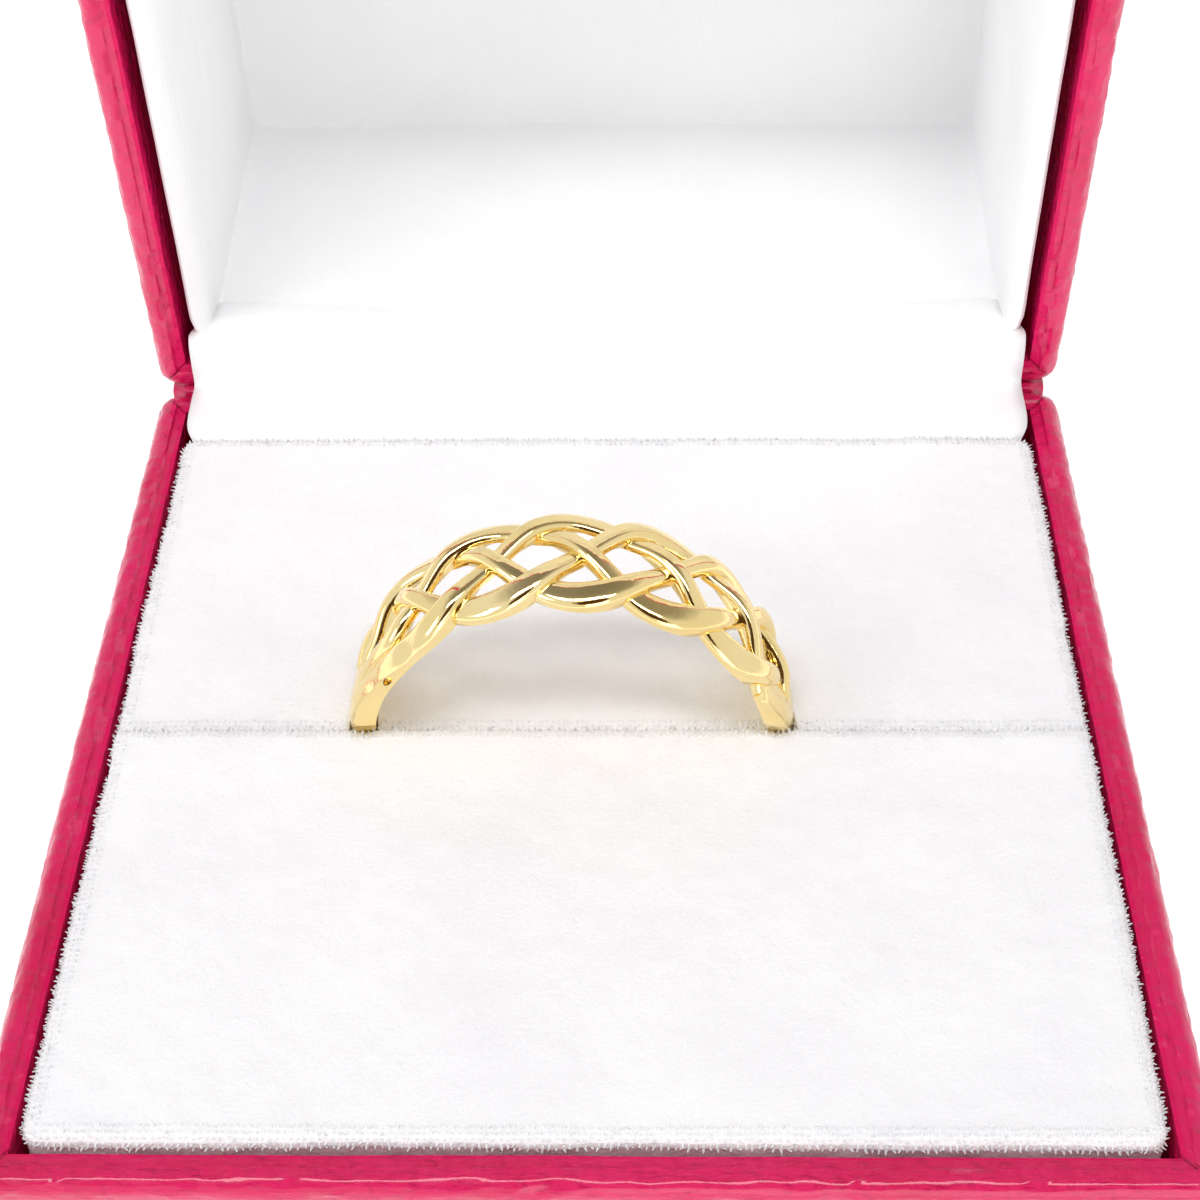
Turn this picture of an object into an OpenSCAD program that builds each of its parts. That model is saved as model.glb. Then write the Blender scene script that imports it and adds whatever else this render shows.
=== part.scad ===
/* [Ring] */
// Inside diameter, where the finger goes
ring_inner_d = 17.8; // [17:0.1:18.2]
// Radial thickness of the plain shank
shank_t = 1.3; // [1.2:0.05:1.4]
// Width of the shank at its lowest point
shank_w = 2.3; // [2:0.1:2.6]
// Width of the shank at the height of its centre
leg_w = 2.6; // [2.4:0.1:2.8]
// Width of the shank where it spreads under the braid's left end
left_shoulder_w = 5; // [4.8:0.1:5.1]
// Width of the shank where it spreads under the braid's right end
right_shoulder_w = 5.2; // [4.8:0.1:5.3]
// Backward lean of the ring in its slot, in degrees
ring_lean = 3; // [0:0.5:4]
// Sideways place of the ring's centre in the box
ring_x = -1.3; // [-2:0.1:2]
// Depth of the ring's centre under the rim of the base
ring_sink = 0.35; // [0.2:0.05:0.5]

/* [Braid] */
// Angle round the ring from one crossing to the next, in degrees
weave_step = 24; // [23.5:0.1:24.2]
// Angle of the front crossing nearest the left shoulder, in degrees
first_crossing = -56; // [-57:0.5:-55]
// Sideways swing of a strand either side of the band's middle
swing = 2.25; // [2.1:0.05:2.3]
// Width of a strand where it turns at the band's edge
strand_w = 1.2; // [1:0.05:1.3]
// Height of a strand at the band's middle, from the finger side to its crown
strand_h = 1.2; // [1.1:0.05:1.4]
// Rise over, and dip under, a crossing strand
lift = 0.22; // [0.1:0.02:0.24]
// Fall of the band from its middle to its edges
dome = 0.4; // [0:0.05:0.5]
// Outward slope of a strand at the band's edge, as rise over run
edge_slope = 0.38; // [0:0.02:0.4]
// Hollow along the middle of the band's finger side
hollow = 0.4; // [0:0.05:0.5]

/* [Box] */
// Width of the box
box_w = 48.2; // [46:0.2:52]
// Depth of the box, front to hinge
box_d = 48.4; // [46:0.2:52]
// Height of the base
base_h = 20; // [18:0.5:24]
// Height of the lid
lid_h = 22; // [20:0.5:25]
// Thickness of the covered walls
wall = 2.2; // [2:0.1:2.4]
// Radius of the box's upright edges
corner_r = 1.3; // [1.2:0.1:2]
// Angle of the open lid from the closed one, in degrees
lid_open = 86; // [80:1:90]

/* [Pads] */
// Width of the slot where the ring stands in it
slot_w = 3.8; // [3.8:0.1:4]
// Radius of the pads' upper edges along the walls
pad_edge_r = 0.9; // [0.8:0.1:2]
// Thickness of the satin's fold behind the back pad
fold_t = 1.3; // [0.6:0.1:1.4]

/* [Hidden] */

// Box: its underside is at height 0, its front at -Y and its hinge at +Y.
fit_gap = 0.1;
floor_t = 1.6;
inner_r = 0.3;
rim_gap = 0.3;
inside_w = box_w - 2 * wall;
inside_d = box_d - 2 * wall;
hinge_y = box_d / 2;
hinge_z = base_h + rim_gap / 2;

// Satin: a flap on the base and a lining in the lid, both over the hinge wall's rim
satin_t = 0.6;
satin_w = inside_w - 3 * fit_gap;
flap_drop = 6;
lining_t = 0.8;
lining_r = 3;
lining_drop = 0.4;
lip_end = hinge_y - 0.2;
tail_y = inside_d / 2 - fit_gap;
fold_y = tail_y - fold_t;

// Pads: two blocks of foam that meet along the slot
pad_gap = 0.15;
pad_top = base_h + 0.2;
pad_bottom = floor_t + fit_gap;
pad_h = pad_top - pad_bottom;
pad_w = inside_w - 2 * pad_gap;
slot_edge_r = 0.8;
seam_y = -0.4;
front_pad_y = -inside_d / 2 + pad_gap;
back_pad_y = fold_y - pad_gap;

// Ring: angles run round it from its crown, plus to the right.
ring_r = ring_inner_d / 2;
ring_y = 0.7;
ring_z = base_h - ring_sink;
bore_skin = 0.15;
crown_depth = 0.5;
round_rows = 5;
strand_count = 4;
strand_thin = 0.3;
strand_rows = 64;
along_step = 0.5;
settle = 0.5;
level_run = 8;
left_end = -77;
right_end = 88;
left_taper = 0.3;
left_taper_from = -80;
left_taper_to = -50;
right_taper = 0.5;
right_taper_from = 62;
right_taper_to = 88;

// Shank: its ends dip under the braid between these angles.
shank_start = 66;
shank_full = 92;
shank_fall = 276;
shank_stop = 296;
shank_dip = 0.62;
shank_rows = 44;
slice_t = 0.02;

// Shoulders: the shank is down to its own width between the second and the third of these angles.
right_spread = 66;
right_slim = 96;
left_slim = 264;
left_spread = 294;

// Smoothness of round parts
bore_fn = 96;
edge_fn = 48;
corner_fn = 32;

// Slot: a lens in plan that closes beyond the ring on both sides
slot_reach = 11;
slot_end = pad_w / 2 + 1;
slot_rows = 8;
slot_deep = ring_r + shank_t + 0.3;

function ramp(x, a, b) = let (t = min(1, max(0, (x - a) / (b - a)))) t * t * (3 - 2 * t);
function radial(a) = [sin(a), 0, cos(a)];

// Cross-section of a strand or the shank: straight flanks and a rounded crown
function section(w, h, foot = -bore_skin) = concat(
    [[-w / 2, foot]],
    [for (k = [0:round_rows]) let (t = 180 - 180 * k / round_rows)
        [w / 2 * cos(t), h - crown_depth + crown_depth * sin(t)]],
    [[w / 2, foot]]);

// Solid through a list of rings of points that all have the same count
module sweep(rings) {
    m = len(rings[0]);
    n = len(rings);
    sides = [for (j = [0:n - 2], k = [0:m - 1]) let (l = (k + 1) % m)
        [j * m + k, j * m + l, (j + 1) * m + l, (j + 1) * m + k]];
    first = [for (k = [m - 1:-1:0]) k];
    last = [for (k = [0:m - 1]) (n - 1) * m + k];
    polyhedron([for (r = rings) each r], concat(sides, [first, last]));
}

// The braid narrows into the shank at both ends.
function envelope(a) = 1 - left_taper * (1 - ramp(a, left_taper_from, left_taper_to))
    - right_taper * ramp(a, right_taper_from, right_taper_to);
function scallop(i) = first_crossing + (i + 0.5) * weave_step;
function swing_side(a, i) = -cos(90 * (a - scallop(i)) / weave_step);

// Past its last edge the front strand keeps to the edge, and the one beside it settles next to it.
function past(a) = max(0, scallop(0) - a);
function side(a, i) = past(a) == 0 ? swing_side(a, i) : i == 0 ? -1
    : i == strand_count - 1 ? -settle * sin(min(90, 90 * past(a) / (settle * weave_step))) : swing_side(a, i);

// Over and under: a whole wave along each slanting run, half a wave round each edge
function turn_of(a, i) = let (u = (a - scallop(i)) / weave_step - 0.5) u - 4 * floor(u / 4);
function weave(u) = u < 1 ? cos(360 * u) : u < 2 ? cos(180 * (u - 1))
    : u < 3 ? -cos(360 * (u - 2)) : -cos(180 * (u - 3));
function over(a, i) = weave(turn_of(a, i)) * (i % (strand_count - 1) == 0 ? 1 - ramp(past(a), 0, level_run) : 1);

function strand_top(a, i) = strand_h + (lift * over(a, i) - dome * pow(side(a, i), 2)) * envelope(a);
function strand_foot(a, i) = -bore_skin + (bore_skin + hollow) * (1 - pow(side(a, i), 2)) * envelope(a);
function strand_width(a, i) = strand_w * (1 - strand_thin * (1 - pow(side(a, i), 2)));
function centre(a, i) = ring_r * radial(a) + [0, swing * envelope(a) * side(a, i), 0];
function unit(v) = v / norm(v);
function strand_ring(a, i) = let (
    along = centre(a + along_step, i) - centre(a - along_step, i),
    out = unit(radial(a) + [0, edge_slope * envelope(a) * side(a, i), 0]),
    across = unit(cross(out, along)))
    [for (p = section(strand_width(a, i), strand_top(a, i), strand_foot(a, i)))
        centre(a, i) + p[0] * across + p[1] * out];

module strand(i) {
    sweep([for (j = [0:strand_rows]) strand_ring(left_end + j * (right_end - left_end) / strand_rows, i)]);
}

function shank_top(a) = shank_t
    - shank_dip * (1 - ramp(a, shank_start, shank_full)) - shank_dip * ramp(a, shank_fall, shank_stop);
function shank_width(a) = shank_w + (leg_w - shank_w) * pow((a - 180) / 90, 2)
    + (right_shoulder_w - leg_w) * (1 - ramp(a, right_spread, right_slim))
    + (left_shoulder_w - leg_w) * ramp(a, left_slim, left_spread);
function shank_angle(j) = shank_start + j * (shank_stop - shank_start) / shank_rows;

module shank_slice(a) {
    rotate([0, a, 0]) translate([0, 0, ring_r]) rotate([90, 0, 90])
        linear_extrude(slice_t, center = true) polygon(section(shank_width(a), shank_top(a)));
}

// Plain shank: down from the braid's right end, under the finger and up to its left end
module shank() {
    for (j = [0:shank_rows - 1]) hull() {
        shank_slice(shank_angle(j));
        shank_slice(shank_angle(j + 1));
    }
}

module at_ring() {
    translate([ring_x, ring_y, ring_z]) rotate([-ring_lean, 0, 0]) children();
}

module ring() {
    color("gold") at_ring() difference() {
        union() {
            for (i = [0:strand_count - 1]) strand(i);
            shank();
        }
        rotate([90, 0, 0]) cylinder(h = 3 * left_shoulder_w, r = ring_r, center = true, $fn = bore_fn);
    }
}

// Flat block with round upright edges
module block(w, d, h, r) {
    linear_extrude(h) {
        square([w - 2 * r, d], center = true);
        square([w, d - 2 * r], center = true);
        for (x = [-1, 1], y = [-1, 1])
            translate([x * (w / 2 - r), y * (d / 2 - r)]) circle(r, $fn = corner_fn);
    }
}

// Open tray whose hinge wall is lowered for the satin that runs over it
module tray(h) {
    difference() {
        block(box_w, box_d, h, corner_r);
        translate([0, 0, floor_t]) block(inside_w, inside_d, h, inner_r);
        translate([-inside_w / 2, inside_d / 2 - wall, h - satin_t - fit_gap])
            cube([inside_w, 3 * wall, satin_t + wall]);
    }
}

module base_shell() {
    color("crimson") tray(base_h);
}

// Side view of a pad: square below, with its two upper edges rounded
module pad_profile(a, ra, b, rb) {
    translate([a, 0]) square([ra, pad_h - ra]);
    translate([a + ra, 0]) square([b - a - ra - rb, pad_h]);
    translate([b - rb, 0]) square([rb, pad_h - rb]);
    translate([a + ra, pad_h - ra]) circle(ra, $fn = edge_fn);
    translate([b - rb, pad_h - rb]) circle(rb, $fn = edge_fn);
}

module pad_block(y1, r1, y2, r2) {
    translate([0, 0, pad_bottom]) intersection() {
        rotate([90, 0, 90]) linear_extrude(pad_w, center = true) pad_profile(y1, r1, y2, r2);
        rotate([90, 0, 0]) linear_extrude(2 * box_d, center = true)
            pad_profile(-pad_w / 2, pad_edge_r, pad_w / 2, pad_edge_r);
    }
}

// The shank opens the slot to its own width, and the slot leans with the ring.
function bow(x) = 1 - ramp(abs(x), slot_reach, slot_end);
function slot_y(x, s) = seam_y + (ring_y + s * slot_w / 2 - seam_y) * bow(x);

module slot_space() {
    points = concat(
        [for (k = [-slot_rows:slot_rows]) let (x = k * slot_end / slot_rows) [x, slot_y(x, -1)]],
        [for (k = [slot_rows - 1:-1:1 - slot_rows]) let (x = k * slot_end / slot_rows) [x, slot_y(x, 1)]]);
    at_ring() translate([-ring_x, -ring_y, -slot_deep]) linear_extrude(2 * slot_deep) polygon(points);
}

module front_pad() {
    color("white") difference() {
        pad_block(front_pad_y, pad_edge_r, seam_y - fit_gap, slot_edge_r);
        slot_space();
    }
}

module back_pad() {
    color("whitesmoke") difference() {
        pad_block(seam_y + fit_gap, slot_edge_r, back_pad_y, pad_edge_r);
        slot_space();
    }
}

// Satin strip that comes up behind the back pad and runs over the hinge wall
module hinge_flap() {
    color("ivory") {
        translate([-satin_w / 2, fold_y, base_h - flap_drop]) cube([satin_w, fold_t, flap_drop]);
        translate([-satin_w / 2, fold_y, base_h - satin_t]) cube([satin_w, lip_end - fold_y, satin_t]);
    }
}

// Lid parts are drawn as a tray on its floor, then turned over onto the base and opened.
module at_lid() {
    translate([0, hinge_y, hinge_z]) rotate([-lid_open, 0, 0]) translate([0, -hinge_y, rim_gap / 2 + lid_h])
        mirror([0, 0, 1]) children();
}

module lid_shell() {
    color("crimson") at_lid() tray(lid_h);
}

module lid_lining() {
    lining_floor = floor_t + fit_gap;
    color("ivory") at_lid() {
        difference() {
            translate([0, 0, lining_floor])
                block(satin_w, inside_d - 2 * fit_gap, lid_h - lining_drop - lining_floor, inner_r);
            translate([0, 0, lining_floor + lining_t])
                block(satin_w - 2 * lining_t, inside_d - 2 * fit_gap - 2 * lining_t, lid_h, lining_r);
        }
        translate([-satin_w / 2, tail_y - lining_t, lid_h - satin_t])
            cube([satin_w, lip_end - tail_y + lining_t, satin_t]);
    }
}

ring();
base_shell();
front_pad();
back_pad();
hinge_flap();
lid_shell();
lid_lining();
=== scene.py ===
import math
import random
import bmesh
import bpy
from mathutils import Matrix, Vector, noise


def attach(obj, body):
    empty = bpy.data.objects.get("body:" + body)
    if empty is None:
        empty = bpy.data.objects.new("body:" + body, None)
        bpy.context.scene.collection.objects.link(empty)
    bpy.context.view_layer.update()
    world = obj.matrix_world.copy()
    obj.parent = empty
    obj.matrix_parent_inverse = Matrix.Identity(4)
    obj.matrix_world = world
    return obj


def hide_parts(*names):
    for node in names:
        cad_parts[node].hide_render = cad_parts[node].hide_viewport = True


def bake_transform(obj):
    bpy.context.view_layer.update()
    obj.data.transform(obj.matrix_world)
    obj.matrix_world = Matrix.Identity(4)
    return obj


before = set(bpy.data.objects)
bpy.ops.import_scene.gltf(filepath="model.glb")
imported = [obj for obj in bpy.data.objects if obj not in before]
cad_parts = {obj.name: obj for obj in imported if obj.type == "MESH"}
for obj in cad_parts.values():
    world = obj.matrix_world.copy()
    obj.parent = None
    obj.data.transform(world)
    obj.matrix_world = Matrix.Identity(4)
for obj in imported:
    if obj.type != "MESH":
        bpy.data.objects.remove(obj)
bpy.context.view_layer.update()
mm = 0.001


# camera at the photo's angle
shot = {
    "place": (2.172, -67.289, 92.679),  # mm
    "pitch": 44.0,  # degrees below the horizon
    "yaw": -1.737,
    "roll": -1.3,
    "lens": 64.67,  # mm, for a square picture
    "sensor": 36,
    "clip": (0.005, 10),  # metres
}


def cameraMatrix():
    pitch, yaw, roll = (math.radians(shot[k]) for k in ("pitch", "yaw", "roll"))
    ahead = Vector((math.sin(yaw) * math.cos(pitch), math.cos(yaw) * math.cos(pitch), -math.sin(pitch)))
    side = Vector((math.cos(yaw), -math.sin(yaw), 0))
    over = side.cross(ahead)
    right = math.cos(roll) * side + math.sin(roll) * over
    up = -math.sin(roll) * side + math.cos(roll) * over
    turn = Matrix((right, up, -ahead)).transposed().to_4x4()
    return Matrix.Translation(Vector(shot["place"]) * mm) @ turn


cameraData = bpy.data.cameras.new("photoCamera")
cameraData.sensor_width = shot["sensor"]
cameraData.lens = shot["lens"]
cameraData.clip_start, cameraData.clip_end = shot["clip"]
camera = bpy.data.objects.new("photoCamera", cameraData)
camera.matrix_world = cameraMatrix()
bpy.context.scene.collection.objects.link(camera)
bpy.context.scene.camera = camera
print("camera placed")


# materials: each is a principled shader with its own procedural colour, gloss and relief
def newMaterial(name, **values):
    material = bpy.data.materials.new(name)
    material.use_nodes = True
    tree = material.node_tree
    shader = tree.nodes["Principled BSDF"]
    for key, value in values.items():
        shader.inputs[key.replace("_", " ")].default_value = value
    return material, tree, shader


def addNode(tree, kind, links=(), **values):
    node = tree.nodes.new(kind)
    for key, value in values.items():
        if hasattr(node, key):
            setattr(node, key, value)
        else:
            node.inputs[key.replace("_", " ")].default_value = value
    for socket, source in links:
        tree.links.new(source, node.inputs[socket])
    return node


def objectPlace(tree):
    coordinates = tree.nodes.new("ShaderNodeTexCoord")
    return coordinates.outputs["Object"]


def noiseOn(tree, place, scale, detail=3.0, roughness=0.55):
    node = addNode(tree, "ShaderNodeTexNoise", [("Vector", place)],
                   Scale=scale, Detail=detail, Roughness=roughness)
    return node.outputs["Fac"]


def streaks(tree, place, scale):  # noise that is drawn out along one axis
    node = addNode(tree, "ShaderNodeMapping", [("Vector", place)])
    node.inputs["Scale"].default_value = scale
    return noiseOn(tree, node.outputs["Vector"], 1.0, 4.0, 0.6)


def ramp(tree, source, stops):  # a stop is a place and a colour, or a place and one grey value
    node = addNode(tree, "ShaderNodeValToRGB", [("Fac", source)])
    bar = node.color_ramp
    while len(bar.elements) < len(stops):
        bar.elements.new(0.5)
    for element, (place, colour) in zip(bar.elements, stops):
        element.position = place
        element.color = (*colour, 1) if len(colour) == 3 else (colour[0], colour[0], colour[0], 1)
    return node.outputs["Color"]


def mixed(tree, share, first, second):
    return addNode(tree, "ShaderNodeMix", [(0, share), (2, first), (3, second)]).outputs[0]


def calculate(tree, operation, first, second=0):
    node = addNode(tree, "ShaderNodeMath", [(0, first)], operation=operation)
    if isinstance(second, (int, float)):
        node.inputs[1].default_value = second
    else:
        tree.links.new(second, node.inputs[1])
    return node.outputs["Value"]


def relief(tree, shader, layers):  # a layer is a height pattern, its depth in metres and its strength
    normal = None
    for height, distance, strength in layers:
        links = [("Height", height)] + ([("Normal", normal)] if normal else [])
        bump = addNode(tree, "ShaderNodeBump", links, Distance=distance, Strength=strength)
        normal = bump.outputs["Normal"]
    tree.links.new(normal, shader.inputs["Normal"])


gold = {
    "tone": (260.0, [(0.3, (0.93, 0.72, 0.31)), (0.7, (0.98, 0.80, 0.41))]),  # pattern scale per metre, stops
    "gloss": (900.0, [(0.3, (0.05,)), (0.75, (0.11,))]),
    "waves": (800.0, 0.00005, 0.5),  # scale, depth in metres, strength
    "polish": (6000.0, 0.00001, 0.4),
}


def makeGold():
    material, tree, shader = newMaterial("polishedGold", Metallic=1.0)
    place = objectPlace(tree)
    for part, socket in (("tone", "Base Color"), ("gloss", "Roughness")):
        scale, stops = gold[part]
        tree.links.new(ramp(tree, noiseOn(tree, place, scale), stops), shader.inputs[socket])
    layers = (gold["waves"], gold["polish"])
    relief(tree, shader, [(noiseOn(tree, place, scale, 2.0), depth, force) for scale, depth, force in layers])
    return material


leatherette = {  # patterns per mm, since they lie on trayPlace
    "tone": [(0.3, (0.62, 0.001, 0.075)), (0.7, (0.71, 0.006, 0.112))],
    "toneScale": 0.14,
    "gloss": [(0.3, (0.30,)), (0.7, (0.44,))],
    "glossScale": 0.5,
    "coat": [(0.0, (0.04,)), (1.0, (0.9,))],  # dull inner strip, glossy elsewhere
    "coatRoughness": 0.12,
    "innerEdge": 21.8,  # from the middle to the rim's inner and outer strips, mm
    "outerStrip": 22.75,
    "streaksAlongX": (0.5, 2.2, 2.2),
    "streaksAlongY": (2.2, 0.5, 2.2),
    "sideStreaks": 0.4,  # the side rims are smoother than the front's
    "panelScale": 1.2,
    "mitreWidth": 0.14,
    "pebbleScale": 1.7,
    "pebbleStops": [(0.15, (1.0,)), (0.65, (0.0,))],
}


def makeLeatherette():  # trayPlace is each shell's own place in mm before it is opened
    material, tree, shader = newMaterial("crimsonLeatherette", Coat_Roughness=leatherette["coatRoughness"])
    shader.inputs["Specular IOR Level"].default_value = 0.2
    place = addNode(tree, "ShaderNodeAttribute", attribute_name="trayPlace").outputs["Vector"]
    colour = ramp(tree, noiseOn(tree, place, leatherette["toneScale"], 4.0), leatherette["tone"])
    gloss = ramp(tree, noiseOn(tree, place, leatherette["glossScale"]), leatherette["gloss"])
    tree.links.new(colour, shader.inputs["Base Color"])
    tree.links.new(gloss, shader.inputs["Roughness"])
    axes = addNode(tree, "ShaderNodeSeparateXYZ", [("Vector", place)]).outputs
    x, y = (calculate(tree, "ABSOLUTE", axes[k]) for k in (0, 1))
    outermost = calculate(tree, "MAXIMUM", x, y)
    onPanel = calculate(tree, "LESS_THAN", outermost, leatherette["innerEdge"])  # away from the rim
    outerStrip = calculate(tree, "GREATER_THAN", outermost, leatherette["outerStrip"])
    glossy = calculate(tree, "MAXIMUM", outerStrip, onPanel)
    tree.links.new(ramp(tree, glossy, leatherette["coat"]), shader.inputs["Coat Weight"])
    onSide = calculate(tree, "GREATER_THAN", x, y)  # the rims meet in a mitre at the corners
    alongX = streaks(tree, place, leatherette["streaksAlongX"])
    alongY = streaks(tree, place, leatherette["streaksAlongY"])
    wrinkle = mixed(tree, onSide, alongX, calculate(tree, "MULTIPLY", alongY, leatherette["sideStreaks"]))
    wrinkle = mixed(tree, onPanel, wrinkle, noiseOn(tree, place, leatherette["panelScale"]))
    apart = calculate(tree, "ABSOLUTE", calculate(tree, "SUBTRACT", x, y))
    crease = ramp(tree, apart, [(0.0, (0.0,)), (leatherette["mitreWidth"], (1.0,))])
    mitre = calculate(tree, "MAXIMUM", onPanel, crease)
    pebble = addNode(tree, "ShaderNodeTexVoronoi", [("Vector", place)],
                     feature="SMOOTH_F1", Scale=leatherette["pebbleScale"])
    pebbles = ramp(tree, pebble.outputs["Distance"], leatherette["pebbleStops"])
    relief(tree, shader, [(wrinkle, 0.0006, 0.6), (pebbles, 0.0002, 0.7), (mitre, 0.00015, 0.8)])
    return material


velvet = {
    "tone": [(0.3, (0.91, 0.905, 0.93)), (0.6, (0.95, 0.947, 0.962))],
    "toneScale": 150.0,
    "nap": (900.0, 3.0, 0.55, 0.00015, 0.35),  # scale, detail, roughness, depth in metres, strength
    "pile": (5200.0, 3.0, 0.7, 0.00009, 0.7),
}


def makeVelvet():
    material, tree, shader = newMaterial("whiteVelvet", Roughness=0.95,
                                         Sheen_Weight=0.35, Sheen_Roughness=0.5)
    shader.inputs["Specular IOR Level"].default_value = 0.12
    place = objectPlace(tree)
    colour = ramp(tree, noiseOn(tree, place, velvet["toneScale"], 5.0), velvet["tone"])
    tree.links.new(colour, shader.inputs["Base Color"])
    relief(tree, shader, [(noiseOn(tree, place, *pattern), depth, force)
                          for *pattern, depth, force in (velvet["nap"], velvet["pile"])])
    return material


satin = {
    "tone": [(0.3, (0.9, 0.902, 0.912)), (0.65, (0.94, 0.942, 0.948))],
    "toneScale": 60.0,
    "foldScale": 90.0,
    "threadScale": 2500.0,
    "threadStray": 0.6,
}


def makeSatin():
    material, tree, shader = newMaterial("whiteSatin", Roughness=0.42,
                                         Sheen_Weight=0.2, Sheen_Roughness=0.35)
    shader.inputs["Specular IOR Level"].default_value = 0.4
    place = objectPlace(tree)
    colour = ramp(tree, noiseOn(tree, place, satin["toneScale"], 4.0), satin["tone"])
    tree.links.new(colour, shader.inputs["Base Color"])
    thread = addNode(tree, "ShaderNodeTexWave", [("Vector", place)],
                     Scale=satin["threadScale"], Distortion=satin["threadStray"]).outputs["Fac"]
    relief(tree, shader, [(noiseOn(tree, place, satin["foldScale"]), 0.0009, 0.3), (thread, 0.00002, 0.25)])
    return material


looks = {"gold": makeGold(), "leatherette": makeLeatherette(), "velvet": makeVelvet(), "satin": makeSatin()}
print("materials made")


# studio: a pale room that is dim overhead, small softboxes, and a dark patch low in front
studio = {
    "room": 0.88,
    "dimSide": (0, 0.3, 0.954),  # the ceiling, a little behind the box
    "dimming": [(0.0, (1.0, 1.0, 1.0)), (0.62, (0.97, 0.97, 1.0)),
                (0.86, (0.4, 0.385, 0.37)), (1.0, (0.26, 0.25, 0.24))],
    "darkSide": (0.037, -0.714, 0.70),
    "darkening": [(0.915, (1.0, 1.0, 1.0)), (0.955, (0.1, 0.05, 0.02))],
    "floor": (0.9, 0.9, 0.9),
    "floorHalf": 700,  # mm
    "floorGlow": 0.5,
    "lights": [  # name, place, target and size in mm, watts
        ("topSoftbox", (-12, -70, 260), (0, 0, 20), (240, 50), 0.27),
        ("leftFill", (-240, -120, 170), (0, 0, 20), (120, 120), 0.12),
        ("frontFill", (70, -290, 90), (0, 20, 35), (170, 170), 0.14),
    ],
}


def addLight(name, place, target, size, watts):
    lamp = bpy.data.lights.new(name, "AREA")
    lamp.shape = "RECTANGLE"
    lamp.size = size[0] * mm
    lamp.size_y = size[1] * mm
    lamp.energy = watts
    lampObject = bpy.data.objects.new(name, lamp)
    spot = Vector(place) * mm
    lampObject.location = spot
    lampObject.rotation_euler = (Vector(target) * mm - spot).to_track_quat("-Z", "Y").to_euler()
    bpy.context.scene.collection.objects.link(lampObject)


def lightRoom():
    world = bpy.data.worlds.new("room")
    bpy.context.scene.world = world
    world.use_nodes = True
    tree = world.node_tree
    towards = tree.nodes.new("ShaderNodeTexCoord").outputs["Generated"]
    shades = []
    for side, stops in (("dimSide", "dimming"), ("darkSide", "darkening")):
        facing = addNode(tree, "ShaderNodeVectorMath", [(0, towards)], operation="DOT_PRODUCT")
        facing.inputs[1].default_value = studio[side]
        shades.append(ramp(tree, facing.outputs["Value"], studio[stops]))
    both = addNode(tree, "ShaderNodeVectorMath", [(0, shades[0]), (1, shades[1])], operation="MULTIPLY")
    backdrop = tree.nodes["Background"]
    tree.links.new(both.outputs["Vector"], backdrop.inputs["Color"])
    backdrop.inputs["Strength"].default_value = studio["room"]
    for light in studio["lights"]:
        addLight(*light)
    bpy.context.scene.view_settings.view_transform = "Standard"


lightRoom()
print("studio lit")


# helpers that every piece uses; pieces are shaped in millimetres and finished in metres
def meshPiece(name, bm):
    bmesh.ops.remove_doubles(bm, verts=bm.verts, dist=0.0005)
    bmesh.ops.recalc_face_normals(bm, faces=bm.faces)
    mesh = bpy.data.meshes.new(name)
    bm.to_mesh(mesh)
    bm.free()
    piece = bpy.data.objects.new(name, mesh)
    bpy.context.scene.collection.objects.link(piece)
    return piece


def applyModifiers(piece):
    bpy.context.view_layer.update()
    shaped = piece.evaluated_get(bpy.context.evaluated_depsgraph_get())
    mesh = bpy.data.meshes.new_from_object(shaped)
    old = piece.data
    piece.modifiers.clear()
    piece.data = mesh
    bpy.data.meshes.remove(old)


def finishPiece(piece, look, body, replaced=None, sharp=None):
    piece.data.transform(Matrix.Scale(mm, 4))
    piece.data.materials.clear()
    piece.data.materials.append(looks[look])
    piece.data.shade_smooth()
    if sharp:
        piece.data.set_sharp_from_angle(angle=math.radians(sharp))
    if body:
        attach(piece, body)
    if replaced:
        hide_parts(replaced)
    print("made", piece.name, len(piece.data.polygons), "faces")


def remesh(piece, voxel, smooth):
    grid = piece.modifiers.new("grid", "REMESH")
    grid.mode = "VOXEL"
    grid.voxel_size = voxel
    soft = piece.modifiers.new("soft", "SMOOTH")
    soft.iterations = smooth
    soft.factor = 0.5
    applyModifiers(piece)


def fade(x, a, b):
    t = min(1.0, max(0.0, (x - a) / (b - a)))
    return t * t * (3 - 2 * t)


def soften(piece, amount, size):
    normals = [vert.normal.copy() for vert in piece.data.vertices]
    for vert, normal in zip(piece.data.vertices, normals):
        vert.co += normal * amount * noise.fractal(vert.co / size, 1.0, 2.0, 3)


def roundEdges(bm, edges, radius, segments):
    bmesh.ops.bevel(bm, geom=edges, offset=radius, segments=segments, profile=0.5, affect="EDGES",
                    material=-1, clamp_overlap=True)


def smoothPath(points, count):  # a curve through the points
    found = []
    for k in range(count + 1):
        t = k / count * (len(points) - 1)
        i = min(int(t), len(points) - 2)
        t -= i
        a, b, c, d = (Vector(points[min(max(i + n, 0), len(points) - 1)]) for n in (-1, 0, 1, 2))
        bend, twist = 2 * a - 5 * b + 4 * c - d, 3 * b - a - 3 * c + d
        found.append(0.5 * (2 * b + (c - a) * t + bend * t * t + twist * t ** 3))
    return found


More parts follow.
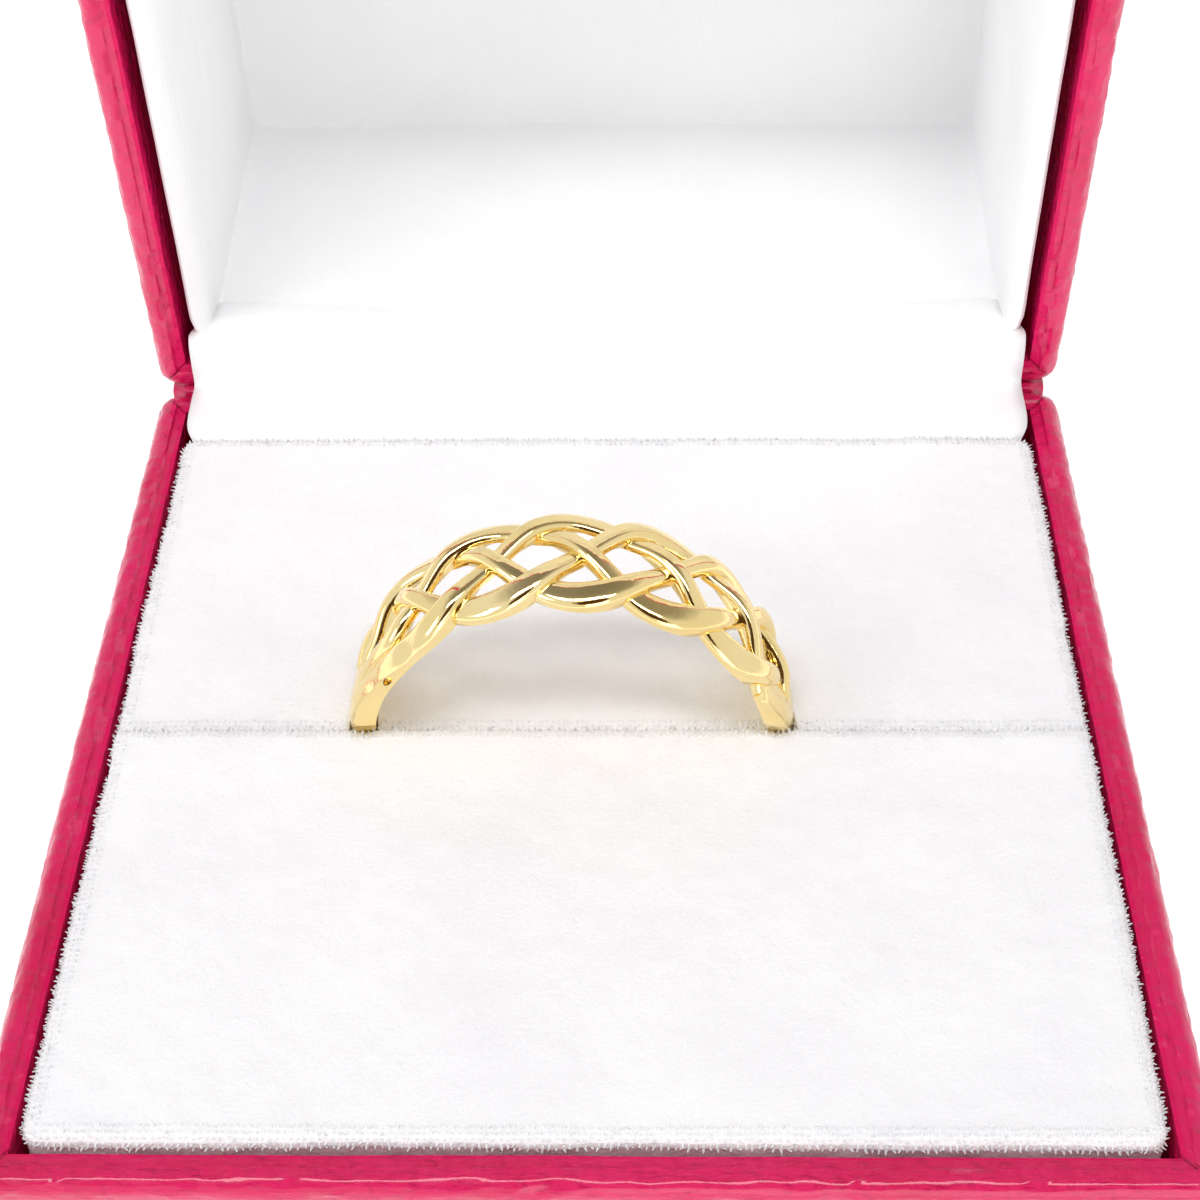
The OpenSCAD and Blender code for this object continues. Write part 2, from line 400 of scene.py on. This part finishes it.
# the ring: four woven strands that run out into a plain shank
ring = {
    "bore": 8.9,  # radius of the finger hole
    "place": (-1.3, 0.7, 19.65),
    "lean": 3.0,
    "step": 24.0,  # degrees between crossings
    "firstCrossing": -56.0,
    "swing": 2.25,
    "edgeSlope": 0.38,  # outward slope of a strand at the band's edge
    "settle": 0.5,  # where the strand beside the front one settles at the left shoulder
    "strandWidth": 1.38,
    "waist": 0.35,  # how much a strand slims on its slanting runs
    "height": 1.2,
    "lift": 0.22,
    "dome": 0.4,
    "hollow": 0.5,
    "rearRelief": 0.6,  # how much of the hollow is kept towards the back edge
    "footSlim": 0.4,  # how far a woven strand narrows towards the finger
    "crown": 0.5,  # depth of a strand's rounded top
    "boxiness": 0.72,  # 1 is a half round, less is flatter
    "leftTaper": (0.3, -80, -50),
    "rightTaper": (0.5, 66, 90),
    "shankThick": 1.3,
    "shankWidth": 2.3,
    "legWidth": 2.6,
    "leftShoulder": (5.0, 264, 294),
    "rightShoulder": (5.2, 96, 66),
    "foot": -0.15,  # how far strands and shank reach into the bore before it is cut
    "strandEnds": (-80, 89),  # degrees from the crown
    "levelRun": 8,  # degrees over which a strand at the left shoulder stops weaving
    "leftMerge": (62, 77),  # degrees over which strands run out into the shank
    "rightMerge": (74, 87),
    "mergeSunk": 0.08,
    "shankEnds": (66, 296),
    "shankDip": (0.62, 88, 276),  # how far its ends sink under the strands, and from where
    "dimple": (-58.5, -2.78, 9.25),  # angle, y, radius
    "dimpleSize": (0.36, 0.3, 0.17),
    "stations": 170,
    "roundPoints": 18,
    "borePoints": 240,
    "boreDepth": 12,
    "sharp": 38,
}


def envelope(a):
    left, leftFrom, leftTo = ring["leftTaper"]
    right, rightFrom, rightTo = ring["rightTaper"]
    return 1 - left * (1 - fade(a, leftFrom, leftTo)) - right * fade(a, rightFrom, rightTo)


def scallop(i):
    return ring["firstCrossing"] + (i + 0.5) * ring["step"]


def past(a):  # how far beyond the front strand's last edge, towards the left shoulder
    return max(0.0, scallop(0) - a)


def sideOf(a, i):
    if past(a) > 0 and i == 0:
        return -1.0
    if past(a) > 0 and i == 3:
        turn = min(90.0, 90 * past(a) / (ring["settle"] * ring["step"]))
        return -ring["settle"] * math.sin(math.radians(turn))
    return -math.cos(math.radians(90 * (a - scallop(i)) / ring["step"]))


def weave(a, i):  # +1 over, -1 under
    u = ((a - scallop(i)) / ring["step"] - 0.5) % 4
    wave = (math.cos(math.tau * u), math.cos(math.pi * (u - 1)),
            -math.cos(math.tau * (u - 2)), -math.cos(math.pi * (u - 3)))
    level = 1 - fade(past(a), 0, ring["levelRun"]) if i in (0, 3) else 1
    return wave[int(u)] * level


def outward(a):
    return Vector((math.sin(math.radians(a)), 0, math.cos(math.radians(a))))


def strandCentre(a, i):
    return outward(a) * ring["bore"] + Vector((0, ring["swing"] * envelope(a) * sideOf(a, i), 0))


def profile(width, top, foot, k, across, out, slim=0.0):  # flat crown, round edges, upright flanks
    count = ring["roundPoints"]
    if k in (0, count + 1):
        return across * math.copysign(width / 2 * (1 - slim), k - 1) + out * foot
    t = math.pi * (1 - (k - 1) / (count - 1))
    x = math.copysign(abs(math.cos(t)) ** ring["boxiness"], math.cos(t))
    return across * width / 2 * x + out * (top - ring["crown"] * (1 - math.sin(t) ** ring["boxiness"]))


def strandSection(a, i, k):
    along = strandCentre(a + 0.5, i) - strandCentre(a - 0.5, i)
    side = sideOf(a, i)
    out = (outward(a) + Vector((0, ring["edgeSlope"] * envelope(a) * side, 0))).normalized()
    across = out.cross(along).normalized()
    isFront = side < 0
    side = side ** 2
    woven = max(0, 1 - fade(-a, *ring["leftMerge"]) - fade(a, *ring["rightMerge"]))  # 0 once in the shank
    top = ring["height"] + (ring["lift"] * weave(a, i) * woven - ring["dome"] * side) * envelope(a)
    top += (ring["shankThick"] - ring["mergeSunk"] - top) * (1 - woven)
    filled = side if isFront else (1 - ring["rearRelief"]) * side
    foot = ring["foot"] + (ring["hollow"] - ring["foot"]) * (1 - filled) * envelope(a) * woven
    width = ring["strandWidth"] * (1 - ring["waist"] * (1 - side))
    slim = ring["footSlim"] * (1 - filled) * woven
    return strandCentre(a, i) + profile(width, top, foot, k, across, out, slim)


def tube(name, rows, columns, pointAt):
    bm = bmesh.new()
    bmesh.ops.create_grid(bm, x_segments=rows, y_segments=columns, size=1)
    for vert in bm.verts:
        row = round((vert.co.x + 1) / 2 * rows)
        column = round((vert.co.y + 1) / 2 * columns)
        vert.co = pointAt(row, column % columns)
    bmesh.ops.remove_doubles(bm, verts=bm.verts, dist=0.0005)
    bmesh.ops.holes_fill(bm, edges=[e for e in bm.edges if e.is_boundary], sides=0)
    return meshPiece(name, bm)


def makeStrand(i):
    (start, end), rows = ring["strandEnds"], ring["stations"]
    return tube("strand%d" % i, rows, ring["roundPoints"] + 2,
                lambda row, k: strandSection(start + row * (end - start) / rows, i, k))


def shankWidth(a):
    leg = ring["legWidth"]
    left, leftFrom, leftTo = ring["leftShoulder"]
    right, rightFrom, rightTo = ring["rightShoulder"]
    width = ring["shankWidth"] + (leg - ring["shankWidth"]) * ((a - 180) / 90) ** 2
    return width + (left - leg) * fade(a, leftFrom, leftTo) + (right - leg) * fade(a, rightFrom, rightTo)


def makeShank():
    (start, end), rows = ring["shankEnds"], ring["stations"]
    deepest, rises, sinks = ring["shankDip"]

    def shankPoint(row, k):
        a = start + row * (end - start) / rows
        dip = deepest * (1 - fade(a, start, rises)) + deepest * fade(a, sinks, end)
        top = ring["shankThick"] - dip
        section = profile(shankWidth(a), top, ring["foot"], k, Vector((0, 1, 0)), outward(a))
        return outward(a) * ring["bore"] + section

    return tube("shank", rows, ring["roundPoints"] + 2, shankPoint)


def makeBore():
    bm = bmesh.new()
    bmesh.ops.create_cone(bm, cap_ends=True, segments=ring["borePoints"], depth=ring["boreDepth"],
                          radius1=ring["bore"], radius2=ring["bore"],
                          matrix=Matrix.Rotation(math.radians(90), 4, "X"))
    return meshPiece("bore", bm)


def combine(piece, other, operation):
    cut = piece.modifiers.new(operation, "BOOLEAN")
    cut.operation = operation
    cut.solver = "MANIFOLD"
    cut.object = other
    applyModifiers(piece)
    bpy.data.objects.remove(other)


def makeDimple():  # small oval hollow in the left shoulder's front
    a, y, r = ring["dimple"]
    turn = Matrix.Rotation(math.radians(a), 4, "Y") @ Matrix.Diagonal((*ring["dimpleSize"], 1))
    place = Matrix.Translation(outward(a) * r + Vector((0, y, 0)))
    bm = bmesh.new()
    bmesh.ops.create_icosphere(bm, subdivisions=4, radius=1)
    bmesh.ops.transform(bm, matrix=place @ turn, verts=bm.verts)
    return meshPiece("dimple", bm)


def makeRing():
    piece = makeShank()
    for i in range(4):
        combine(piece, makeStrand(i), "UNION")
    combine(piece, makeBore(), "DIFFERENCE")
    combine(piece, makeDimple(), "DIFFERENCE")
    piece.name = "braidedRing"
    lean = Matrix.Rotation(math.radians(-ring["lean"]), 4, "X")
    piece.data.transform(Matrix.Translation(ring["place"]) @ lean)
    finishPiece(piece, "gold", "base", "ring", ring["sharp"])


makeRing()


# box shells: board trays covered in leatherette, whose rims have a raised, rucked outer strip
shell = {
    "width": 48.2,
    "depth": 48.4,
    "base": 20.0,
    "lid": 22.0,
    "wall": 2.2,
    "floor": 1.6,
    "corner": 1.1,
    "inner": 0.4,
    "rim": 0.85,  # radius of the rim's outer edge
    "strip": 1.35,  # width of the raised outer strip
    "sunk": 0.14,  # how far the inner strip lies below it
    "slope": 0.12,  # width of the step between the strips
    "lip": 0.2,  # radius of the rim's inner edge
    "foot": 0.4,  # radius round the underside
    "ruck": 0.13,  # height of the wrinkles in the outer strip
    "ruckBand": (1.6, 0.5),  # they fade in between these depths below the rim
    "ruckScale": (0.7, 2.4),  # along and across the rim, per mm
    "ruckFine": 2.3,
    "bulge": 0.04,  # broad unevenness of the covering
    "cutsAlong": 110,
    "cutsUp": 9,
    "hinge": (0, 24.2, 20.15),
    "gap": 0.15,
    "open": 86.0,
    "sharp": 40,
}


def upright(edge):
    return abs(edge.verts[0].co.z - edge.verts[1].co.z) > 1


def ringEdges(bm, test):  # edges that turn a corner between a level face and a steep one
    return [e for e in bm.edges if len(e.link_faces) == 2 and all(test(v.co) for v in e.verts)
            and abs(abs(e.link_faces[0].normal.z) - abs(e.link_faces[1].normal.z)) > 0.5]


def makeTray(name, height):
    wide, deep = shell["width"] / 2, shell["depth"] / 2
    bm = bmesh.new()
    bmesh.ops.create_cube(bm, size=1)
    bmesh.ops.scale(bm, vec=(2 * wide, 2 * deep, height), verts=bm.verts)
    bmesh.ops.translate(bm, vec=(0, 0, height / 2), verts=bm.verts)
    top = [f for f in bm.faces if f.normal.z > 0.9]
    bmesh.ops.inset_region(bm, faces=top, thickness=shell["strip"])
    bmesh.ops.inset_region(bm, faces=top, thickness=shell["slope"], depth=-shell["sunk"])
    bmesh.ops.inset_region(bm, faces=top, thickness=shell["wall"] - shell["strip"] - shell["slope"])
    sunk = bmesh.ops.extrude_face_region(bm, geom=top)
    bmesh.ops.delete(bm, geom=top, context="FACES_ONLY")
    low = [v for v in sunk["geom"] if isinstance(v, bmesh.types.BMVert)]
    bmesh.ops.translate(bm, vec=(0, 0, shell["floor"] - height + shell["sunk"]), verts=low)

    def within(co, reach):  # whether a point lies this far inside the outer walls
        return abs(co.x) < wide - reach and abs(co.y) < deep - reach

    atCorner = [e for e in bm.edges if upright(e) and abs(e.verts[0].co.x) > wide - 0.1]
    roundEdges(bm, atCorner, shell["corner"], 4)
    roundEdges(bm, [e for e in bm.edges if upright(e) and within(e.verts[0].co, 2)], shell["inner"], 3)
    outer = ringEdges(bm, lambda co: co.z > height - 0.01 and not within(co, 0.9))
    roundEdges(bm, outer, shell["rim"], 6)
    lip = ringEdges(bm, lambda co: co.z > height - 0.2 and within(co, 2.1))
    roundEdges(bm, lip, shell["lip"], 3)
    roundEdges(bm, ringEdges(bm, lambda co: co.z < 0.01), shell["foot"], 3)
    level = [e for e in bm.edges if e.calc_length() > 20 and not upright(e)]
    bmesh.ops.subdivide_edges(bm, edges=level, cuts=shell["cutsAlong"])
    standing = [e for e in bm.edges if e.calc_length() > 10 and upright(e)]
    bmesh.ops.subdivide_edges(bm, edges=standing, cuts=shell["cutsUp"])
    return meshPiece(name, bm)


def ruck(piece, height):  # wrinkles that run along the outer strip of the rim
    normals = [vert.normal.copy() for vert in piece.data.vertices]
    wide, deep = shell["width"] / 2, shell["depth"] / 2
    low, high = shell["ruckBand"]
    along, across = shell["ruckScale"]
    for vert, normal in zip(piece.data.vertices, normals):
        x, y, z = vert.co
        edge = min(wide - abs(x), deep - abs(y))
        strip = fade(z, height - low, height - high) * (1 - fade(edge, shell["strip"] - 0.35, shell["strip"]))
        alongSide = wide - abs(x) < deep - abs(y)
        inX, inY = (across, along) if alongSide else (along, across)
        spread = Vector((x * inX, y * inY, z * across))
        crease = 0.5 - abs(noise.noise(spread)) - 0.6 * abs(noise.noise(spread * shell["ruckFine"]))
        bulge = shell["bulge"] * noise.noise(Vector((x, y, z)) / 4.0)
        vert.co += normal * (shell["ruck"] * strip * crease + bulge)


def ontoLid():  # from a tray's own place to the open lid
    hinge = Vector(shell["hinge"])
    turn = Matrix.Translation(hinge) @ Matrix.Rotation(math.radians(-shell["open"]), 4, "X")
    shut = Matrix.Translation((0, -hinge.y, shell["gap"] + shell["lid"]))
    return turn @ shut @ Matrix.Diagonal((1, 1, -1, 1))


def rememberPlace(piece):  # for the leatherette's patterns
    kept = piece.data.attributes.new("trayPlace", "FLOAT_VECTOR", "POINT")
    for vert, value in zip(piece.data.vertices, kept.data):
        value.vector = vert.co


def makeShell(name, height, body, node):
    piece = makeTray(name, height)
    rememberPlace(piece)
    ruck(piece, height)
    if body == "lid":
        piece.data.transform(ontoLid())
        piece.data.flip_normals()
    finishPiece(piece, "leatherette", body, node, shell["sharp"])


makeShell("leatherBase", shell["base"], "base", "base_shell")
makeShell("leatherLid", shell["lid"], "lid", "lid_shell")


# strip of the same leatherette over the outside of the hinge
hingeSkin = {
    "half": 23.5,
    "path": [(24.29, 12.5), (24.29, 16.5), (24.3, 19.5), (24.5, 20.02),  # y and z, mm
             (25.2, 20.12), (26.4, 20.2), (28.2, 20.33)],
    "rows": 36,
    "columns": 24,
    "thickness": 0.1,
}


def sheetPiece(name, part, pointAt):  # a cloth or skin: rows run along its path, columns across
    bm = bmesh.new()
    bmesh.ops.create_grid(bm, x_segments=part["columns"], y_segments=part["rows"], size=1)
    for vert in bm.verts:
        column = round((vert.co.x + 1) / 2 * part["columns"])
        row = round((vert.co.y + 1) / 2 * part["rows"])
        vert.co = pointAt(column, row)
    return meshPiece(name, bm)


def thicken(piece, thickness, offset=0.0):
    thick = piece.modifiers.new("thick", "SOLIDIFY")
    thick.thickness = thickness
    thick.offset = offset
    applyModifiers(piece)


def pathLength(path):
    return sum((b - a).length for a, b in zip(path, path[1:]))


def makeHingeSkin():
    path = smoothPath([Vector(p) for p in hingeSkin["path"]], hingeSkin["rows"])

    def skinPoint(column, row):
        return (hingeSkin["half"] * (2 * column / hingeSkin["columns"] - 1), *path[row])

    piece = sheetPiece("hingeSkin", hingeSkin, skinPoint)
    rememberPlace(piece)
    thicken(piece, hingeSkin["thickness"])
    finishPiece(piece, "leatherette", None)
    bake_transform(piece)
    print("hinge skin length", round(pathLength(path), 2), "mm")


makeHingeSkin()


# velvet pads: soft blocks whose lips close over the slot, apart from where the ring's legs part them
pads = {
    "half": 22.15,
    "front": (-22.2, -0.74),  # y of the front pad's two long sides
    "back": (-0.96, 20.0),
    "bottom": 1.7,
    "top": 20.2,
    "corner": 0.6,
    "edge": 0.65,
    "slotEdge": 0.3,
    "voxel": 0.27,
    "swell": (0.1, 6.0),  # height and size of the foam's broad unevenness, mm
    "tuft": (0.045, 0.8),  # and of the pile's fine one
    "lip": 0.22,  # how far the front pad rises along the slot
    "legs": (-10.87, 8.27),  # x of the ring's legs where they enter
    "lipRun": (4.5, 0.4),  # from how far behind its edge the rise begins and ends
    "lipRoot": (15, 20),  # z from which it rises
    "legHalf": (0.35, 0.62),  # half width of a leg's dent, inside and outside
    "backDent": 3.3,
    "legNotch": 0.12,  # how far the front pad's lip sinks before a leg
    "notchRun": (1.0, 0.2),
    "slotShift": (0.2, 2.9),  # how far the deep slot stands back in the front and the back pad
    "slotMouth": (18.2, 19.4),  # z at which it closes
    "slotReach": (11.5, 16),  # half length at which it ends
    "seeds": (11, 12),
    "pile": 4200,  # tufts that stand out along the edges of a pad
    "pileLength": (0.08, 0.26),
    "pileBand": (0.7, 0.75),  # depth and width of the band that bears tufts
    "pileRoot": 0.095,  # inset of a tuft's root
    "pileTip": 0.25,  # size of its tip
    "pileStray": 0.6,
    "fill": 0.8,
}


def legShare(x):  # 1 at a leg of the ring
    return max(1 - fade(abs(x - place), *pads["legHalf"]) for place in pads["legs"])


def deepShare(x, z):  # 1 in the deep slot round the shank
    return (1 - fade(z, *pads["slotMouth"])) * (1 - fade(abs(x - ring["place"][0]), *pads["slotReach"]))


def shapePad(piece, isFront):
    y1, y2 = pads["front"] if isFront else pads["back"]
    middle = (y1 + y2) / 2
    frontShift, backShift = pads["slotShift"]
    for vert in piece.data.vertices:
        x, y, z = vert.co
        if isFront:
            vert.co.y -= fade(y, middle, y2) * frontShift * deepShare(x, z)
            rise = pads["lip"] * fade(y, *(y2 - run for run in pads["lipRun"]))
            rise -= pads["legNotch"] * legShare(x) * fade(y, *(y2 - run for run in pads["notchRun"]))
            vert.co.z += rise * fade(z, *pads["lipRoot"])
        else:
            push = max(pads["backDent"] * legShare(x), backShift * deepShare(x, z))
            vert.co.y += (1 - fade(y, y1, middle)) * push


def raisePile(piece, isFront):  # thin tufts drawn out of faces along the pad's upper edges
    y1, y2 = pads["front"] if isFront else pads["back"]
    dice = random.Random(pads["seeds"][0 if isFront else 1])
    depth, band = pads["pileBand"]
    bm = bmesh.new()
    bm.from_mesh(piece.data)

    def bearsPile(face):
        x, y, z = face.calc_center_median()
        nearEdge = min(pads["half"] - abs(x), y - y1, y2 - y) < band
        return face.normal.z > -0.2 and z > pads["top"] - depth and nearEdge

    able = [f for f in bm.faces if bearsPile(f)]
    chosen = dice.sample(able, min(len(able), pads["pile"]))
    bmesh.ops.inset_individual(bm, faces=chosen, thickness=pads["pileRoot"])
    drawn = bmesh.ops.extrude_discrete_faces(bm, faces=chosen)["faces"]
    for face in drawn:
        centre = face.calc_center_median()
        stray = Vector((dice.uniform(-1, 1), dice.uniform(-1, 1), dice.uniform(-0.3, 0.8)))
        reach = (face.normal + pads["pileStray"] * stray).normalized() * dice.uniform(*pads["pileLength"])
        for vert in face.verts:
            vert.co = centre + (vert.co - centre) * pads["pileTip"] + reach
    bm.to_mesh(piece.data)
    bm.free()


def makePad(node, name, isFront):
    y1, y2 = pads["front"] if isFront else pads["back"]
    low, high = pads["bottom"], pads["top"]
    bm = bmesh.new()
    bmesh.ops.create_cube(bm, size=1)
    bmesh.ops.scale(bm, vec=(2 * pads["half"], y2 - y1, high - low), verts=bm.verts)
    bmesh.ops.translate(bm, vec=(0, (y1 + y2) / 2, (low + high) / 2), verts=bm.verts)
    atCorner = [e for e in bm.edges if upright(e) and (e.verts[0].co.y < y1 + 1) == isFront]
    roundEdges(bm, atCorner, pads["corner"], 4)
    slotSide, slotEdge = y2 if isFront else y1, pads["slotEdge"]
    atSlot = ringEdges(bm, lambda co: co.z > high - 0.01 and abs(co.y - slotSide) < 0.01)
    roundEdges(bm, atSlot, slotEdge, 3)
    outer = ringEdges(bm, lambda co: co.z > high - 0.01 and abs(co.y - slotSide) > slotEdge - 0.01)
    roundEdges(bm, outer, pads["edge"], 4)
    piece = meshPiece(name, bm)
    remesh(piece, pads["voxel"], 3)
    shapePad(piece, isFront)
    soften(piece, *pads["swell"])
    soften(piece, *pads["tuft"])
    raisePile(piece, isFront)
    finishPiece(piece, "velvet", "base", node)


makePad("front_pad", "frontPad", True)
makePad("back_pad", "backPad", False)


# satin lining of the lid: five soft panels that meet in creases
lining = {
    "half": (21.12, 21.12),  # creases' half width and half depth, mm
    "deep": (2.45, 21.7),  # the top's panel and the rim, from the lid's outside
    "puff": 0.5,
    "wave": 0.22,
    "waveSize": 7.0,
    "roll": 0.85,  # how far the rim rolls out to the shell
    "rollFrom": 0.93,  # share of the height at which that begins
    "flatten": (0.8, 0.75),  # how far the puff dies away towards the rim, and from where
    "cuts": 66,
    "softness": 6,  # smoothing of the creases
    "thickness": 0.3,
    "sharp": 50,
}


def liningPoint(co):  # from a cube of side 2, whose faces are known by a coordinate of 1 or -1
    u, v, w = co
    wide, deep = lining["half"]
    low, high = lining["deep"]
    onFace = 0.999
    place = Vector((u * wide, v * deep, low + (w + 1) / 2 * (high - low)))
    inward = Vector((-u if abs(u) > onFace else 0, -v if abs(v) > onFace else 0, 1 if w < -onFace else 0))
    if inward.length > 1.1:  # a crease between two panels
        return place
    soft = [1 - abs(t) ** 4 for t, face in ((u, inward.x), (v, inward.y)) if not face]
    swell = lining["puff"] + lining["wave"] * noise.fractal(place / lining["waveSize"], 1.0, 2.0, 3)
    if w > -onFace:
        share, start = lining["flatten"]
        soft.append(1 - ((1 - w) / 2) ** 6)
        soft.append(1 - share * fade(w, start, 1.0))
        place -= inward * lining["roll"] * fade(w, lining["rollFrom"], 1.0)
    return place + inward * max(0.0, swell) * math.prod(soft)


def makeLining():
    bm = bmesh.new()
    bmesh.ops.create_cube(bm, size=2)
    bmesh.ops.delete(bm, geom=[f for f in bm.faces if f.normal.z > 0.9], context="FACES_ONLY")
    bmesh.ops.subdivide_edges(bm, edges=bm.edges, cuts=lining["cuts"], use_grid_fill=True)
    for vert in bm.verts:
        vert.co = liningPoint(vert.co)
    piece = meshPiece("lidLining", bm)
    floorFace = min(piece.data.polygons, key=lambda f: f.center.z)
    if floorFace.normal.z > 0:
        piece.data.flip_normals()
    soft = piece.modifiers.new("soft", "SMOOTH")
    soft.iterations = lining["softness"]
    thicken(piece, lining["thickness"], 1.0)
    piece.data.transform(ontoLid())
    piece.data.flip_normals()
    finishPiece(piece, "satin", "lid", "lid_lining", lining["sharp"])


# satin over the hinge: from behind the back pad over both rims to the lining
flap = {
    "half": 22.15,
    "tailHalf": 21.75,
    "headHalf": 21.1,
    "thickness": 0.12,
    "tail": [(19.9, 15.0), (19.9, 17.4), (19.9, 19.5), (20.2, 20.15), (21.2, 20.5)],
    "hugging": [(22.6, 20.6), (23.55, 20.62), (23.98, 21.0), (24.06, 22.2), (24.3, 23.35)],
    "bridging": [(22.5, 20.9), (23.2, 21.35), (23.6, 21.95), (23.85, 22.75), (24.35, 23.5)],
    "head": [(25.1, 23.72), (26.2, 23.8), (27.4, 23.55), (28.2, 23.1)],
    "hugFrom": (4, 19),  # half widths between which the bridging path becomes the hugging one
    "widens": (19.9, 20.5),  # z over which it widens above the pad
    "narrows": (24.4, 26.0),  # y over which it narrows into the lining
    "free": ((20.0, 20.6), (26.0, 27.0)),  # z and y between which it wrinkles
    "wrinkle": (0.06, 0.09),  # depth in y and z
    "rows": 64,
    "columns": 64,
}


def flapPath(x):
    hug = fade(abs(x), *flap["hugFrom"])
    tail, head = ([Vector(p) for p in flap[part]] for part in ("tail", "head"))
    middle = [Vector(a).lerp(Vector(b), hug) for a, b in zip(flap["bridging"], flap["hugging"])]
    return smoothPath(tail + middle + head, flap["rows"])


def makeFlap():
    columns, half = flap["columns"], flap["half"]
    paths = [flapPath(half * (2 * c / columns - 1)) for c in range(columns + 1)]

    def flapPoint(column, row):
        y, z = paths[column][row]
        here = flap["tailHalf"] + (half - flap["tailHalf"]) * fade(z, *flap["widens"])
        here += (flap["headHalf"] - half) * fade(y, *flap["narrows"])
        x = here * (2 * column / columns - 1)
        crease = noise.noise(Vector((x / 5.0, y / 1.2, z / 1.2))) + 0.5 * noise.noise(Vector((x / 2.0, y, z)))
        rises, ends = flap["free"]
        crease *= fade(z, *rises) * (1 - fade(y, *ends))
        inY, inZ = flap["wrinkle"]
        return (x, y - inY * crease, z + inZ * crease)

    piece = sheetPiece("hingeSatin", flap, flapPoint)
    thicken(piece, flap["thickness"])
    finishPiece(piece, "satin", None, "hinge_flap")
    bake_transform(piece)


makeLining()
makeFlap()


# floor
def makeFloor():
    bm = bmesh.new()
    bmesh.ops.create_grid(bm, x_segments=8, y_segments=8, size=studio["floorHalf"])
    floor = meshPiece("paleFloor", bm)
    floor.data.transform(Matrix.Scale(mm, 4))
    material, tree, shader = newMaterial("paleFloor", Roughness=0.8)
    shader.inputs["Base Color"].default_value = (*studio["floor"], 1)
    shader.inputs["Emission Color"].default_value = (1, 1, 1, 1)
    shader.inputs["Emission Strength"].default_value = studio["floorGlow"]
    floor.data.materials.append(material)
    print("floor laid")


makeFloor()
